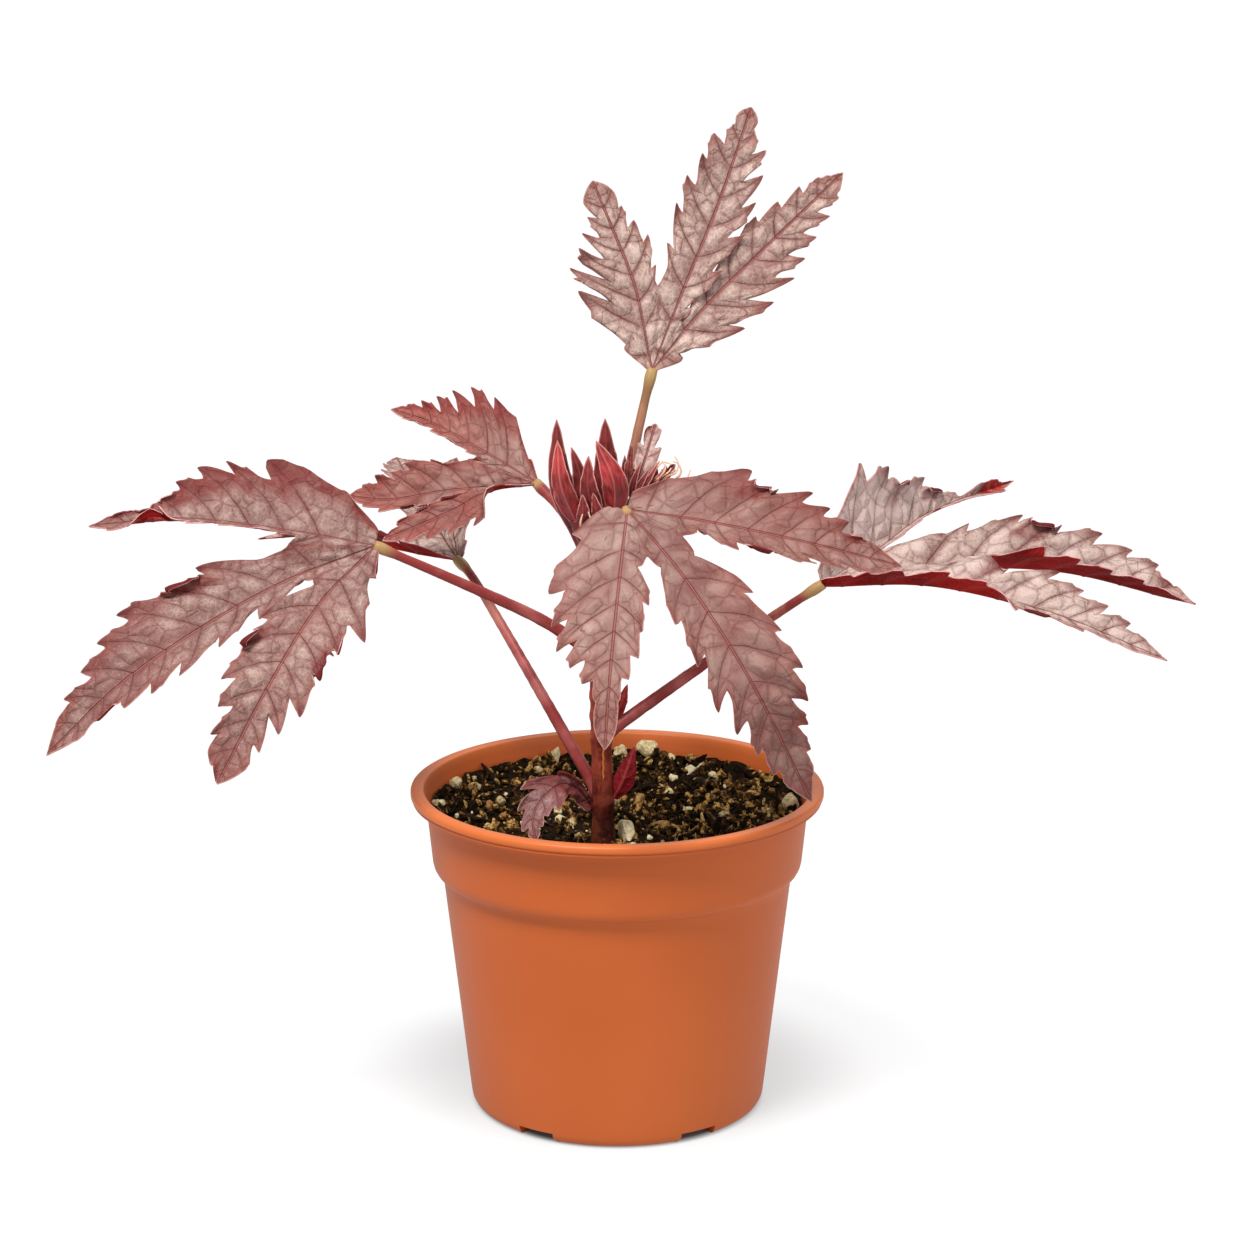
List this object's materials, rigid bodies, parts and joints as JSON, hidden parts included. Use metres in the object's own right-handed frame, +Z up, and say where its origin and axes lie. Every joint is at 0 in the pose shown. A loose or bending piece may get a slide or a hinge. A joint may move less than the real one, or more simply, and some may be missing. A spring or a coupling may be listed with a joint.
{
  "type": "potted hibiscus shrub",
  "caption": "Young red-leaved hibiscus shrub with deeply lobed toothed leaves on long stalks, one upright stem and apex buds, growing in a round tapered nursery pot of potting mix.",
  "frame": {"origin": "centre of the pot's flat underside, on the surface that the pot stands on", "axes": "+Z up the pot and the stem, -Y towards the pictured front, +X to its right and along the widest spread of the leaves"},
  "size_m": [0.3222, 0.1851, 0.2891],
  "materials": {
    "pot": "matt terracotta-coloured moulded plastic",
    "potting_mix": "loose dark potting mix with bark and white grains",
    "stem": "smooth red-brown green-wood bark",
    "stalk": "smooth dusky red leaf stalk",
    "leaf": "matt mauve-brown blade with red veins and a deep red underside",
    "young_leaf": "satin bright red young blade"
  },
  "bodies": {
    "root": {"pot": "pot", "potting_mix": "potting_mix", "main_stem": "stem", "stalk_top": "stalk", "stalk_left": "stalk", "stalk_front": "stalk", "stalk_upper_left": "stalk", "stalk_right": "stalk", "stalk_back": "stalk", "stalk_young": "stalk", "leaf_top": "leaf", "leaf_left": "leaf", "leaf_front": "leaf", "leaf_upper_left": "leaf", "leaf_right": "leaf", "leaf_back": "leaf", "basal_leaf": "leaf", "young_leaf": "young_leaf", "basal_bud_leaf": "young_leaf", "axil_leaf": "young_leaf", "bud_left": "young_leaf", "bud_right": "young_leaf"}
  },
  "joints": []
}
